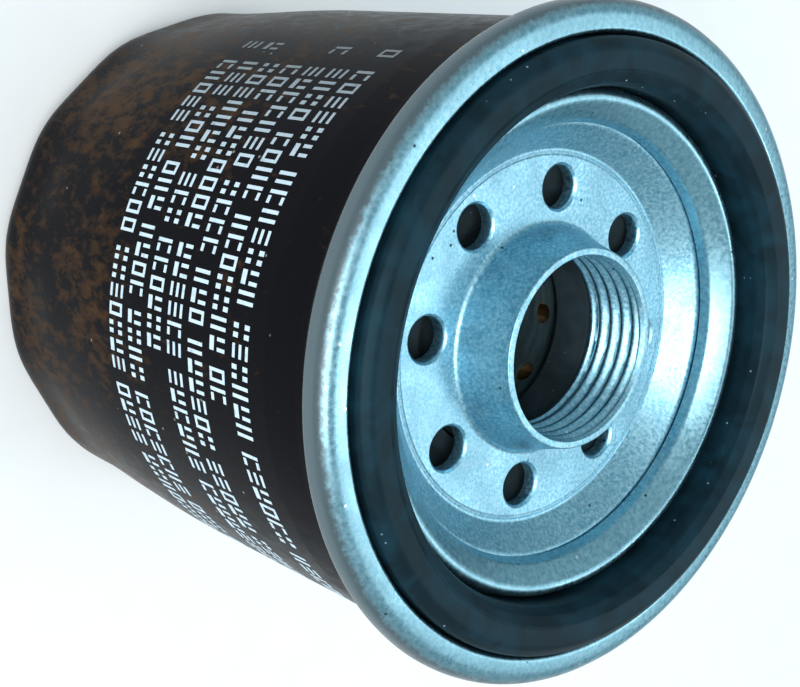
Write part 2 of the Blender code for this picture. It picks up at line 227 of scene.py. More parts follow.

# %% [markdown]
# Zinc-plated pressed steel with a clear blue passivation covers the base plate and the lid. The
# plating follows the rolled surface of the steel, so it sparkles in grains of a few tenths of a
# millimetre, clouds over where it was handled, and keeps small dark pits and pale chips. Its colour
# is the reflection's tint, so it is a metal, and the grain goes to colour, roughness and bump. The
# can is sprayed after the lid is rolled on, so a thin mist of enamel greys the roll's outside; the
# grey is laid further up the roll than the mist goes, as painted shade over the roll's outer highlight.

# %% Zinc plating
def zinc_finish(name, deep, pale, grain_mm, smooth, dull, overspray_and_painted_shade=False):
    made, tree, shader, place = new_finish(name, {"Metallic": 1.0})
    grain = add(tree, "ShaderNodeTexNoise", {
        "Vector": place, "Scale": PER_MM / grain_mm, "Detail": 4.0, "Roughness": 0.65,
    }).outputs["Fac"]
    clouds = add(tree, "ShaderNodeTexNoise", {
        "Vector": place, "Scale": PER_MM / 5.0, "Detail": 5.0, "Distortion": 0.6,
    }).outputs["Fac"]
    sparkle = add(tree, "ShaderNodeMapRange", {"Value": grain, LOW: 0.36, HIGH: 0.64}).outputs[0]
    plated = add(tree, "ShaderNodeMix", {
        FACTOR: sparkle, FIRST: colour(deep), SECOND: colour(pale),
    }, data_type="RGBA").outputs[MIXED]
    haze = add(tree, "ShaderNodeMapRange", {
        "Value": clouds, LOW: 0.35, HIGH: 0.7, AT_HIGH: 0.35,
    }).outputs[0]
    hazed = add(tree, "ShaderNodeMix", {
        FACTOR: haze, FIRST: plated, SECOND: colour("#7fa6b4"),
    }, data_type="RGBA").outputs[MIXED]
    pit = flecks(tree, place, 1.3, 0.16, 0.08, 0.93)
    pitted = add(tree, "ShaderNodeMix", {
        FACTOR: pit, FIRST: hazed, SECOND: colour("#1d3038"),
    }, data_type="RGBA").outputs[MIXED]
    chip = flecks(tree, place, 1.3, 0.16, 0.08, 0.94, 1)
    chipped = add(tree, "ShaderNodeMix", {
        FACTOR: chip, FIRST: pitted, SECOND: colour("#f2fbff"),
    }, data_type="RGBA").outputs[MIXED]
    worn = add(tree, "ShaderNodeMapRange", {
        "Value": clouds, LOW: 0.3, HIGH: 0.7, AT_LOW: smooth, AT_HIGH: dull,
    })
    rough = add(tree, "ShaderNodeMath", {0: sparkle, 1: 0.10, 2: worn.outputs[0]}, operation="MULTIPLY_ADD")
    bump = add(tree, "ShaderNodeBump", {"Height": grain, "Strength": 0.5, "Distance": 0.02 * MM})
    tree.links.new(chipped, shader.inputs["Base Color"])
    tree.links.new(rough.outputs[0], shader.inputs["Roughness"])
    if overspray_and_painted_shade:
        # The grey film on the roll's outside is partly enamel mist and partly painted shade over the roll's
        # outer highlight.
        level = add(tree, "ShaderNodeSeparateXYZ", {"Vector": place}).outputs["Z"]
        reach = from_axis(tree, place)[1]
        outside = add(tree, "ShaderNodeMapRange", {
            "Value": reach, LOW: 32.9 * MM, HIGH: 33.6 * MM,
        }).outputs[0]
        mist = add(tree, "ShaderNodeTexNoise", {
            "Vector": place, "Scale": PER_MM / 0.8, "Detail": 5.0, "Roughness": 0.7,
        }).outputs["Fac"]
        ragged = add(tree, "ShaderNodeMath", {0: mist, 1: 1.4 * MM, 2: level}, operation="MULTIPLY_ADD")
        under = add(tree, "ShaderNodeMapRange", {
            "Value": ragged.outputs[0], LOW: (RIM_HEIGHT + 0.75) * MM, HIGH: RIM_HEIGHT * MM,
        }).outputs[0]
        overspray_and_shade = add(tree, "ShaderNodeMath", {0: outside, 1: under}, operation="MULTIPLY").outputs[0]
        sprayed_and_shaded = add(tree, "ShaderNodeMix", {
            FACTOR: overspray_and_shade, FIRST: chipped, SECOND: colour("#55646a"),
        }, data_type="RGBA").outputs[MIXED]
        bare = add(tree, "ShaderNodeMath", {0: overspray_and_shade, 1: -0.6, 2: 1.0}, operation="MULTIPLY_ADD")
        tree.links.new(sprayed_and_shaded, shader.inputs["Base Color"])
        tree.links.new(bare.outputs[0], shader.inputs["Metallic"])
    tree.links.new(bump.outputs["Normal"], shader.inputs["Normal"])
    return made


plate_zinc = zinc_finish("blue_passivated_zinc_on_thick_plate", "#6fb0c8", "#b9e2f0", 0.35, 0.30, 0.44)
lid_zinc = zinc_finish("blue_passivated_zinc_on_thin_lid", "#7fb3c4", "#a6d3e1", 0.5, 0.22, 0.34, True)
print("zinc finishes:", plate_zinc.name, "and", lid_zinc.name)

# %% [markdown]
# The can is sprayed with a black-brown enamel and baked. Copper-brown flecks are painted into it, a
# little longer along the draw and more of them towards the closed end: partly dust and partly
# painted reflection on the gloss. Dust has baked into it as pale specks, and the flare below the seam
# is painted a lighter grey-brown, partly the enamel's colour there and partly painted reflection.
# Its specular level is far below the usual, because the film has to stay as dark as enamel looks
# beside bare metal.

# %% Can enamel
FLARE_LOW = RIM_HEIGHT - 5.4


def enamel_finish():
    made, tree, shader, place = new_finish("baked_black_brown_enamel", {"Specular IOR Level": 0.02})
    drawn = add(tree, "ShaderNodeMapping", {"Vector": place, "Scale": (1.0, 1.0, 0.55)}).outputs[0]
    mottle = add(tree, "ShaderNodeTexNoise", {
        "Vector": drawn, "Scale": PER_MM / 1.4, "Detail": 7.0, "Roughness": 0.66, "Distortion": 0.25,
    }).outputs["Fac"]
    patches = add(tree, "ShaderNodeTexNoise", {
        "Vector": place, "Scale": PER_MM / 16.0, "Detail": 3.0,
    }).outputs["Fac"]
    height = add(tree, "ShaderNodeSeparateXYZ", {"Vector": place}).outputs["Z"]
    towards_end = add(tree, "ShaderNodeMapRange", {
        "Value": height, LOW: 54 * MM, HIGH: 20 * MM, AT_LOW: -0.10, AT_HIGH: 0.05,
    }).outputs[0]
    lifted = add(tree, "ShaderNodeMath", {0: patches, 1: 0.45, 2: towards_end}, operation="MULTIPLY_ADD")
    summed = add(tree, "ShaderNodeMath", {0: mottle, 1: lifted.outputs[0]}, operation="ADD").outputs[0]
    # Copper-brown flecks: partly dust, partly painted reflection on the gloss.
    dust_and_reflection_flecks = add(tree, "ShaderNodeMapRange", {"Value": summed, LOW: 0.73, HIGH: 0.95}).outputs[0]
    body = add(tree, "ShaderNodeMix", {
        FACTOR: dust_and_reflection_flecks, FIRST: colour("#0f0e12"), SECOND: colour("#46301d"),
    }, data_type="RGBA").outputs[MIXED]
    dust = flecks(tree, place, 1.7, 0.12, 0.05, 0.93)
    dusted = add(tree, "ShaderNodeMix", {
        FACTOR: dust, FIRST: body, SECOND: colour("#8d8a84"),
    }, data_type="RGBA").outputs[MIXED]
    # The flare below the seam is painted lighter: partly the enamel's colour there, partly painted
    # reflection.
    painted_flare_sheen = add(tree, "ShaderNodeMapRange", {
        "Value": height, LOW: FLARE_LOW * MM, HIGH: (FLARE_LOW + 0.9) * MM, AT_HIGH: 0.85,
    }).outputs[0]
    with_flare_sheen = add(tree, "ShaderNodeMix", {
        FACTOR: painted_flare_sheen, FIRST: dusted, SECOND: colour("#575049"),
    }, data_type="RGBA").outputs[MIXED]
    rough = add(tree, "ShaderNodeMapRange", {
        "Value": mottle, LOW: 0.3, HIGH: 0.7, AT_LOW: 0.20, AT_HIGH: 0.38,
    })
    bump = add(tree, "ShaderNodeBump", {"Height": mottle, "Strength": 0.3, "Distance": 0.03 * MM})
    tree.links.new(with_flare_sheen, shader.inputs["Base Color"])
    tree.links.new(rough.outputs[0], shader.inputs["Roughness"])
    tree.links.new(bump.outputs["Normal"], shader.inputs["Normal"])
    return made


enamel = enamel_finish()
print("can finish:", enamel.name)

# %% [markdown]
# The instructions round a filter's can are silk-screened in a pale epoxy ink. The ink is opaque and
# slightly blue, and it wears thin in spots, where the enamel darkens it. Each row is painted grey
# towards its start, on the side of the can turned from the light: painted shade.

# %% Screen ink
def ink_finish():
    made, tree, shader, place = new_finish("silk_screened_pale_ink", {"Specular IOR Level": 0.3})
    wear = add(tree, "ShaderNodeTexNoise", {
        "Vector": place, "Scale": PER_MM / 0.7, "Detail": 4.0, "Roughness": 0.6,
    }).outputs["Fac"]
    thin = add(tree, "ShaderNodeMapRange", {
        "Value": wear, LOW: 0.56, HIGH: 0.74, AT_HIGH: 0.55,
    }).outputs[0]
    ink = add(tree, "ShaderNodeMix", {
        FACTOR: thin, FIRST: colour("#cfe2ee"), SECOND: colour("#6f7f8a"),
    }, data_type="RGBA").outputs[MIXED]
    # Marks towards negative X, where the rows start, are greyed as painted shade.
    along = add(tree, "ShaderNodeSeparateXYZ", {"Vector": place}).outputs["X"]
    painted_falloff_shade = add(tree, "ShaderNodeMapRange", {
        "Value": along, LOW: -12 * MM, HIGH: -26 * MM, AT_HIGH: 0.9,
    }).outputs[0]
    ink_and_shade = add(tree, "ShaderNodeMix", {
        FACTOR: painted_falloff_shade, FIRST: ink, SECOND: colour("#55585c"),
    }, data_type="RGBA").outputs[MIXED]
    rough = add(tree, "ShaderNodeMapRange", {"Value": wear, AT_LOW: 0.38, AT_HIGH: 0.6})
    tree.links.new(ink_and_shade, shader.inputs["Base Color"])
    tree.links.new(rough.outputs[0], shader.inputs["Roughness"])
    return made


ink = ink_finish()
print("print finish:", ink.name)

# %% [markdown]
# Nitrile rubber is moulded: black with a blue cast where oil has bloomed on it, a satin skin, and
# dust and lint that cling to it as pale specks. The gasket has a fresh skin. The collar and flap
# inside are greyer, because talc from the mould stays in places that nobody wipes.

# %% Rubber
def rubber_finish(name, deep, bloom, speck, rough):
    made, tree, shader, place = new_finish(name, {
        "Specular IOR Level": 0.28, "Specular Tint": colour("#a8d6e8"),
    })
    clouds = add(tree, "ShaderNodeTexNoise", {
        "Vector": place, "Scale": PER_MM / 4.0, "Detail": 6.0, "Distortion": 0.8,
    }).outputs["Fac"]
    blooming = add(tree, "ShaderNodeMapRange", {"Value": clouds, LOW: 0.4, HIGH: 0.75}).outputs[0]
    skin = add(tree, "ShaderNodeMix", {
        FACTOR: blooming, FIRST: colour(deep), SECOND: colour(bloom),
    }, data_type="RGBA").outputs[MIXED]
    lint = flecks(tree, place, 0.9, 0.16, 0.06, 0.88, 2)
    dusted = add(tree, "ShaderNodeMix", {
        FACTOR: lint, FIRST: skin, SECOND: colour(speck),
    }, data_type="RGBA").outputs[MIXED]
    satin = add(tree, "ShaderNodeMapRange", {"Value": clouds, AT_LOW: rough, AT_HIGH: rough + 0.2})
    pores = add(tree, "ShaderNodeTexNoise", {"Vector": place, "Scale": PER_MM / 0.3, "Detail": 2.0})
    bump = add(tree, "ShaderNodeBump", {
        "Height": pores.outputs["Fac"], "Strength": 0.25, "Distance": 0.02 * MM,
    })
    tree.links.new(dusted, shader.inputs["Base Color"])
    tree.links.new(satin.outputs[0], shader.inputs["Roughness"])
    tree.links.new(bump.outputs["Normal"], shader.inputs["Normal"])
    return made


gasket_rubber = rubber_finish("moulded_nitrile_gasket", "#0a1920", "#12303c", "#7ea3b3", 0.38)
valve_rubber = rubber_finish("talc_dusted_nitrile", "#283236", "#37444a", "#8b979c", 0.55)
print("rubbers:", gasket_rubber.name, "and", valve_rubber.name)

# %% [markdown]
# The pieces inside come in plain trade finishes: tinplate for the caps, clip, cage and spring cup,
# oiled strip steel for the tube, drawn spring wire, glass-filled nylon for the poppet, red plastisol
# that glues the pleats, phenolic-cured cellulose paper, and a grey sealing compound in the seam.
# Each has one noise pattern, whose size and stretch stand for rolling lines, fibres, pulp or crumbs.

# %% Inside finishes
def plain_finish(name, constants, stretch, size_mm, low, high, rough, bump_mm):
    """A finish whose one noise pattern drives its colour, roughness and bump."""
    made, tree, shader, place = new_finish(name, constants)
    laid = add(tree, "ShaderNodeMapping", {"Vector": place, "Scale": stretch}).outputs[0]
    pattern = add(tree, "ShaderNodeTexNoise", {
        "Vector": laid, "Scale": PER_MM / size_mm, "Detail": 5.0, "Roughness": 0.6,
    }).outputs["Fac"]
    share = add(tree, "ShaderNodeMapRange", {"Value": pattern, LOW: 0.35, HIGH: 0.65}).outputs[0]
    tone = add(tree, "ShaderNodeMix", {
        FACTOR: share, FIRST: colour(low), SECOND: colour(high),
    }, data_type="RGBA").outputs[MIXED]
    spread = add(tree, "ShaderNodeMapRange", {
        "Value": pattern, AT_LOW: rough - 0.08, AT_HIGH: rough + 0.08,
    })
    bump = add(tree, "ShaderNodeBump", {"Height": pattern, "Strength": 0.4, "Distance": bump_mm * MM})
    tree.links.new(tone, shader.inputs["Base Color"])
    tree.links.new(spread.outputs[0], shader.inputs["Roughness"])
    tree.links.new(bump.outputs["Normal"], shader.inputs["Normal"])
    return made


ALL_WAYS = (1.0, 1.0, 1.0)
ROUND_LINES = (0.15, 0.15, 1.0)  # slow round the axis, quick along it, as drawn metal is marked
tinplate = plain_finish(
    "drawn_tinplate", {"Metallic": 1.0}, ROUND_LINES, 0.35, "#5f6f74", "#a3b2b6", 0.34, 0.01
)
tube_steel = plain_finish(
    "oiled_perforated_strip", {"Metallic": 0.85}, ROUND_LINES, 0.8, "#6f8f96", "#94b4ba", 0.42, 0.01
)
spring_wire = plain_finish(
    "drawn_spring_wire", {"Metallic": 1.0}, ALL_WAYS, 0.25, "#6b6c6d", "#979899", 0.3, 0.01
)
nylon = plain_finish(
    "glass_filled_nylon", {}, ALL_WAYS, 0.3, "#141415", "#26272a", 0.5, 0.01
)
plastisol = plain_finish(
    "cured_red_plastisol", {}, ALL_WAYS, 1.6, "#7a2a1c", "#a24a35", 0.45, 0.05
)
pulp_paper = plain_finish(
    "resin_cured_filter_paper", {}, ALL_WAYS, 0.5, "#80643b", "#a98b5a", 0.88, 0.03
)
compound = plain_finish(
    "seam_sealing_compound", {}, ALL_WAYS, 0.6, "#77705f", "#938b79", 0.75, 0.03
)
inside_finishes = (tinplate, tube_steel, spring_wire, nylon, plastisol, pulp_paper, compound)
print("inside finishes:", [item.name for item in inside_finishes])

# %% [markdown]
# Turned shapes are spun from a closed outline. An outline is given by its corners, and each corner
# has its own fillet radius, as on a drawing. Pressed sheet is drawn as the middle line of the metal
# and gets its thickness from a second helper that offsets the line to both sides.

# %% Outline helpers
def arc(centre, radius, start, end, steps):
    """Points on an arc, with its angles in degrees from the outward direction."""
    angles = [math.radians(start + (end - start) * i / steps) for i in range(steps + 1)]
    return [(centre[0] + radius * math.cos(a), centre[1] + radius * math.sin(a)) for a in angles]


def filleted(corners, closed=False, steps=6):
    """Points of a polyline whose (x, y, fillet) corners are rounded by arcs."""
    points = []
    count = len(corners)
    for i, (x, y, fillet) in enumerate(corners):
        here = Vector((x, y))
        if fillet == 0 or not closed and i in (0, count - 1):
            points.append((x, y))
            continue
        before = (Vector(corners[i - 1][:2]) - here).normalized()
        after = (Vector(corners[(i + 1) % count][:2]) - here).normalized()
        half = before.angle(after) / 2
        reach = fillet / math.tan(half)
        centre = here + (before + after).normalized() * fillet / math.sin(half)
        first = here + before * reach - centre
        last = here + after * reach - centre
        opening = math.atan2(first.y, first.x)
        sweep = math.remainder(math.atan2(last.y, last.x) - opening, 2 * math.pi)
        points += arc(centre, fillet, math.degrees(opening), math.degrees(opening + sweep), steps)
    return points


def sheet(path, thickness):
    """The closed outline of sheet metal of even thickness that follows an open path."""
    sides = ([], [])
    for i, (x, y) in enumerate(path):
        before = path[i - 1] if i else (2 * x - path[1][0], 2 * y - path[1][1])
        after = path[i + 1] if i < len(path) - 1 else (2 * x - path[-2][0], 2 * y - path[-2][1])
        a = math.atan2(y - before[1], x - before[0])
        b = math.atan2(after[1] - y, after[0] - x)
        bend = math.remainder(b - a, 2 * math.pi)
        normal = a + bend / 2 + math.pi / 2
        reach = thickness / 2 / math.cos(bend / 2)
        for side, sign in zip(sides, (1, -1)):
            side.append((x + sign * reach * math.cos(normal), y + sign * reach * math.sin(normal)))
    return sides[0] + sides[1][::-1]


def smooth(mesh, crease=35):
    """Shades a mesh smooth except where its faces meet at more than the crease angle."""
    mesh.shade_smooth()
    mesh.set_sharp_from_angle(angle=math.radians(crease))


def object_of(name, mesh_data):
    """A bmesh as a named object at the origin, faces outwards."""
    bmesh.ops.recalc_face_normals(mesh_data, faces=mesh_data.faces)
    mesh = bpy.data.meshes.new(name)
    mesh_data.to_mesh(mesh)
    mesh_data.free()
    smooth(mesh)
    made = bpy.data.objects.new(name, mesh)
    bpy.context.scene.collection.objects.link(made)
    return made


def turned(name, outline, steps=240):
    """A solid of revolution about Z from a closed outline of (radius, height) points."""
    mesh_data = bmesh.new()
    points = [mesh_data.verts.new((r * MM, 0.0, z * MM)) for r, z in outline]
    edges = [mesh_data.edges.new(pair) for pair in zip(points, points[1:] + points[:1])]
    bmesh.ops.spin(
        mesh_data, geom=points + edges, cent=(0, 0, 0), axis=(0, 0, 1), angle=2 * math.pi, steps=steps
    )
    bmesh.ops.remove_doubles(mesh_data, verts=mesh_data.verts, dist=1e-7)
    on_axis = [edge for edge in mesh_data.edges if not edge.link_faces]
    bmesh.ops.delete(mesh_data, geom=on_axis, context="EDGES")
    return object_of(name, mesh_data)


def finished(piece, material, body, slot, *nodes):
    """Gives a piece its finish, the body it rides on and the frame nodes it stands for, which are hidden;
    the slot is not used.
    """
    piece.data.materials.clear()
    piece.data.materials.append(material)
    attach(piece, body)
    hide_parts(*nodes)
    print(piece.name, "rides on", body, "with", len(piece.data.polygons), "faces")
    return piece


print("an arc of a 1 mm fillet has", len(filleted([(0, 0, 0), (2, 0, 1), (2, 2, 0)])) - 2, "points")

# %% [markdown]
# What repeats, or follows a rule all over a surface, is left to Geometry Nodes. A tree is a recipe
# with named inputs. It runs on a piece through a modifier, and the result is read back as a plain
# mesh, so that no live modifier is left on the piece. Every tree ends in the same two nodes, which
# make instances real and set the finish.

# %% Geometry Nodes helpers
def new_tree(name, inputs):
    """A tree with a Geometry input, more named inputs, and a Geometry output."""
    tree = bpy.data.node_groups.new(name, "GeometryNodeTree")
    tree.interface.new_socket("Geometry", in_out="INPUT", socket_type="NodeSocketGeometry")
    for label, kind in inputs.items():
        tree.interface.new_socket(label, in_out="INPUT", socket_type="NodeSocket" + kind)
    tree.interface.new_socket("Geometry", in_out="OUTPUT", socket_type="NodeSocketGeometry")
    return tree, add(tree, "NodeGroupInput").outputs


def close_tree(tree, geometry, finish):
    """Ends a tree: instances are made real, and the whole result gets its finish."""
    real = add(tree, "GeometryNodeRealizeInstances", {"Geometry": geometry}).outputs[0]
    coated = add(tree, "GeometryNodeSetMaterial", {"Geometry": real, "Material": finish}).outputs[0]
    add(tree, "NodeGroupOutput", {"Geometry": coated})


def run_tree(piece, tree, values):
    """Runs a tree on a piece and keeps the result as the piece's own mesh."""
    modifier = piece.modifiers.new(tree.name, "NODES")
    modifier.node_group = tree
    for item in tree.interface.items_tree:
        if item.in_out == "INPUT" and item.name in values:
            modifier[item.identifier] = values[item.name]
    graph = bpy.context.evaluated_depsgraph_get()
    mesh = bpy.data.meshes.new_from_object(piece.evaluated_get(graph))
    piece.modifiers.remove(modifier)
    piece.data = mesh
    print(tree.name, "made", len(mesh.polygons), "faces of", piece.name)


def empty_piece(name):
    """An object with no mesh yet, for a tree that makes all of it."""
    made = bpy.data.objects.new(name, bpy.data.meshes.new(name))
    bpy.context.scene.collection.objects.link(made)
    return made


print("trees so far:", len(bpy.data.node_groups))

# %% [markdown]
# The floor is one big pale sheet of card under the filter, which stands on its closed end. It is
# staging, not part of the object.

# %% Floor
floor_data = bmesh.new()
bmesh.ops.create_grid(floor_data, x_segments=1, y_segments=1, size=3.0)
floor = object_of("floor", floor_data)
card, card_tree, card_shader, card_place = new_finish("matt_white_card", {"Roughness": 0.9})
card_fibre = add(card_tree, "ShaderNodeTexNoise", {"Vector": card_place, "Scale": PER_MM / 8.0})
card_tone = add(card_tree, "ShaderNodeMix", {
    FACTOR: card_fibre.outputs["Fac"], FIRST: colour("#f5f7f8"), SECOND: colour("#fbfcfc"),
}, data_type="RGBA")
card_tree.links.new(card_tone.outputs[MIXED], card_shader.inputs["Base Color"])
floor.data.materials.append(card)
print("floor", round(floor.dimensions.x, 1), "m across")

# %% [markdown]
# The can is deep-drawn: one sheet pulled into a cup, so its wall has no seam. It is narrower at the
# neck, where it flares outwards into the hook that the lid is rolled over. The wall tapers a little
# towards the closed end, where it also dips in and out 14 times for a cap wrench to grip. The cup is
# turned from its outline, and the dips follow a cosine rule, so a small tree moves those points.

# %% Can
CAN_RADIUS = 32.2
NECK_RADIUS = 32.0
END_RADIUS = 31.4
CAN_SHEET = 0.45
FLUTES = 14


def wall_points(heights, inset=0.0):
    """Corners along the wall, which widens from the closed end's radius to the can's."""
    shares = [max(0.0, min(1.0, (height - 6.0) / 23.0)) for height in heights]
    widen = CAN_RADIUS - END_RADIUS
    return [
        (END_RADIUS + widen * share * share * (3 - 2 * share) - inset, height, 0)
        for height, share in zip(heights, shares)
    ]


rungs = [5.0 + 1.5 * i for i in range(17)]
can_outline = filleted([
    (0, 0, 0),
    (END_RADIUS, 0, 4.0),
    *wall_points(rungs),
    (CAN_RADIUS, RIM_HEIGHT - 11.0, 9.0),
    (NECK_RADIUS, RIM_HEIGHT - 6.6, 4.0),
    (NECK_RADIUS, FLARE_LOW, 1.6),
    (NECK_RADIUS + 0.5, RIM_HEIGHT - 3.9, 0.8),
    (NECK_RADIUS + 0.5, RIM_HEIGHT - 1.8, 0.1),
    (33.25, RIM_HEIGHT - 1.75, 0.1),
    (33.25, RIM_HEIGHT - 2.0, 0),
    (33.55, RIM_HEIGHT - 2.0, 0),
    (33.55, RIM_HEIGHT - 1.35, 0.3),
    (NECK_RADIUS + 0.15, RIM_HEIGHT - 1.35, 0.3),
    (NECK_RADIUS + 0.15, RIM_HEIGHT - 3.8, 1.0),
    (NECK_RADIUS - 0.35, FLARE_LOW, 1.4),
    (NECK_RADIUS - 0.35, RIM_HEIGHT - 6.6, 4.0),
    (CAN_RADIUS - CAN_SHEET, RIM_HEIGHT - 11.0, 9.0),
    *wall_points(rungs[::-1], CAN_SHEET),
    (END_RADIUS - CAN_SHEET, CAN_SHEET, 4.0 - CAN_SHEET),
    (0, CAN_SHEET, 0),
], steps=6)
can = turned("can_shell", can_outline, 20 * FLUTES)

flute_tree, flute_in = new_tree("wrench flutes", {
    "Flutes": "Float", "Depth": "Float", "Turn": "Float", "Fade from": "Float", "Fade to": "Float",
    "Finish": "Material",
})
spot = add(flute_tree, "GeometryNodeInputPosition").outputs[0]
xyz = add(flute_tree, "ShaderNodeSeparateXYZ", {0: spot}).outputs
angle = add(flute_tree, "ShaderNodeMath", {0: xyz[1], 1: xyz[0]}, operation="ARCTAN2").outputs[0]
turned_by = add(flute_tree, "ShaderNodeMath", {0: angle, 1: flute_in["Turn"]}, operation="SUBTRACT")
phase = add(flute_tree, "ShaderNodeMath", {
    0: turned_by.outputs[0], 1: flute_in["Flutes"],
}, operation="MULTIPLY").outputs[0]
wave = add(flute_tree, "ShaderNodeMath", {0: phase}, operation="COSINE").outputs[0]
lobe = add(flute_tree, "ShaderNodeMath", {0: wave, 1: -0.5, 2: 0.5}, operation="MULTIPLY_ADD").outputs[0]
fade = add(flute_tree, "ShaderNodeMapRange", {
    "Value": xyz[2], LOW: flute_in["Fade from"], HIGH: flute_in["Fade to"], AT_LOW: 1.0, AT_HIGH: 0.0,
}, interpolation_type="SMOOTHSTEP").outputs[0]
flat, reach = from_axis(flute_tree, spot)
wall_only = add(flute_tree, "ShaderNodeMapRange", {
    "Value": reach, LOW: 28.3 * MM, HIGH: 31.2 * MM,
}, interpolation_type="SMOOTHSTEP").outputs[0]
masked = add(flute_tree, "ShaderNodeMath", {0: fade, 1: wall_only}, operation="MULTIPLY").outputs[0]
dip = add(flute_tree, "ShaderNodeMath", {0: masked, 1: lobe}, operation="MULTIPLY").outputs[0]
inwards = add(flute_tree, "ShaderNodeMath", {0: dip, 1: flute_in["Depth"]}, operation="MULTIPLY")
outward = add(flute_tree, "ShaderNodeVectorMath", {0: flat}, operation="NORMALIZE").outputs[0]
backed = add(flute_tree, "ShaderNodeMath", {0: inwards.outputs[0], 1: -1.0}, operation="MULTIPLY")
offset = add(flute_tree, "ShaderNodeVectorMath", {
    0: outward, "Scale": backed.outputs[0],
}, operation="SCALE").outputs[0]
dipped = add(flute_tree, "GeometryNodeSetPosition", {"Geometry": flute_in["Geometry"], "Offset": offset})
close_tree(flute_tree, dipped.outputs[0], flute_in["Finish"])
run_tree(can, flute_tree, {
    "Flutes": float(FLUTES), "Depth": 0.35 * MM, "Turn": math.radians(10.7),
    "Fade from": 8.0 * MM, "Fade to": 15.0 * MM, "Finish": enamel,
})
finished(can, enamel, "housing", "can_paint", "can")

# %% [markdown]
# Seven rows of fitting instructions run round the can. They hold no words here: each row is a run of
# abstract marks in word-sized groups, and some rows open with a short list mark. The places are points on
# the wall, and a tree puts one of six little mark shapes on each, turned to face outwards.

# %% Print on the can
ROW_PITCH = 3.79
ROW_TOP = 52.45
CHARACTER_STEP = math.radians(3.45)
ROW_START = math.radians(-138.0)
ROW_ENDS = [math.radians(end) for end in (-18, -75.5, -14, -20, -81, -16, -22)]
LISTED_ROWS = (0, 2, 5, 6)
MARK_WIDTH = 1.45
MARK_HEIGHT = 2.5
INK_LIFT = 0.012


def mark_places(seed):
    """(angle, height) of each mark, in groups of three to seven with a gap between groups."""
    draw = random.Random(seed)
    places = []
    for row, end in enumerate(ROW_ENDS):
        height = ROW_TOP - ROW_PITCH * row
        if row in LISTED_ROWS:
            places.append((ROW_START - 2.0 * CHARACTER_STEP, height))
        angle = ROW_START
        while angle < end:
            for _ in range(draw.randint(3, 7)):
                if angle < end:
                    places.append((angle, height))
                angle += CHARACTER_STEP
            angle += 0.55 * CHARACTER_STEP
    return places


MARK_SHAPES = [  # rectangles as shares of a mark's width and height: left, low, right, high
    [(0.0, 0.0, 0.26, 1.0), (0.62, 0.0, 0.88, 1.0)],
    [(0.0, 0.0, 0.95, 0.16), (0.0, 0.42, 0.95, 0.58), (0.0, 0.84, 0.95, 1.0)],
    [(0.0, 0.0, 0.95, 0.28), (0.0, 0.5, 0.26, 1.0), (0.69, 0.5, 0.95, 1.0)],
    [(0.0, 0.0, 0.24, 1.0), (0.71, 0.0, 0.95, 1.0), (0.24, 0.0, 0.71, 0.15), (0.24, 0.85, 0.71, 1.0)],
    [(0.0, 0.0, 0.34, 0.3), (0.61, 0.0, 0.95, 0.3), (0.0, 0.7, 0.34, 1.0), (0.61, 0.7, 0.95, 1.0)],
    [(0.0, 0.0, 0.26, 1.0), (0.42, 0.0, 0.95, 0.18), (0.42, 0.82, 0.95, 1.0)],
]
mark_sources = bpy.data.collections.new("mark_shapes")
for index, rectangles in enumerate(MARK_SHAPES):
    mark_data = bmesh.new()
    for left, low, right, high in rectangles:
        size = ((right - left) * MARK_WIDTH * MM, (high - low) * MARK_HEIGHT * MM, 0.03 * MM)
        middle = ((left + right - 0.95) / 2 * MARK_WIDTH * MM, (low + high) / 2 * MARK_HEIGHT * MM, 0)
        grow = Matrix.Diagonal((*size, 1))
        bmesh.ops.create_cube(mark_data, size=1.0, matrix=Matrix.Translation(middle) @ grow)
    shape = object_of(f"mark_shape_{index}", mark_data)
    bpy.context.scene.collection.objects.unlink(shape)
    mark_sources.objects.link(shape)

print_tree, print_in = new_tree("printed rows", {
    "Shapes": "Collection", "Seed": "Int", "Ink": "Material",
})
shapes = add(print_tree, "GeometryNodeCollectionInfo", {
    "Collection": print_in["Shapes"], "Separate Children": True, "Reset Children": True,
}).outputs[0]
pick = add(print_tree, "FunctionNodeRandomValue", {
    "Seed": print_in["Seed"], 4: 0, 5: len(MARK_SHAPES) - 1,
}, data_type="INT").outputs[2]
place = add(print_tree, "GeometryNodeInputPosition").outputs[0]
outwards = add(print_tree, "ShaderNodeVectorMath", {0: place, 1: (1, 1, 0)}, operation="MULTIPLY")
facing = add(print_tree, "FunctionNodeAlignRotationToVector", {"Vector": outwards.outputs[0]}, axis="Z")
upright = add(print_tree, "FunctionNodeAlignRotationToVector", {
    "Rotation": facing.outputs[0], "Vector": (0, 0, 1),
}, axis="Y", pivot_axis="Z").outputs[0]
stamped = add(print_tree, "GeometryNodeInstanceOnPoints", {
    "Points": print_in["Geometry"], "Instance": shapes, "Pick Instance": True,
    "Instance Index": pick, "Rotation": upright,
}).outputs[0]
close_tree(print_tree, stamped, print_in["Ink"])

marks = empty_piece("print_marks")
wall = CAN_RADIUS + INK_LIFT
marks.data.from_pydata(
    [(wall * math.cos(a) * MM, wall * math.sin(a) * MM, z * MM) for a, z in mark_places(11)], [], []
)
run_tree(marks, print_tree, {"Shapes": mark_sources, "Seed": 5, "Ink": ink})
smooth(marks.data)
for shape in list(mark_sources.objects):
    bpy.data.objects.remove(shape)
bpy.data.collections.remove(mark_sources)
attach(marks, "housing")
print("the print has", len(marks.data.polygons), "faces")

# %% [markdown]
# The lid is a thin pressed ring. From the middle outwards it climbs over a round shoulder that
# centres the gasket, drops into the gasket's groove, climbs again and rolls over the can's flange
# as a double seam, the bright bead that frames the filter. Its middle line is drawn once, as sheet.

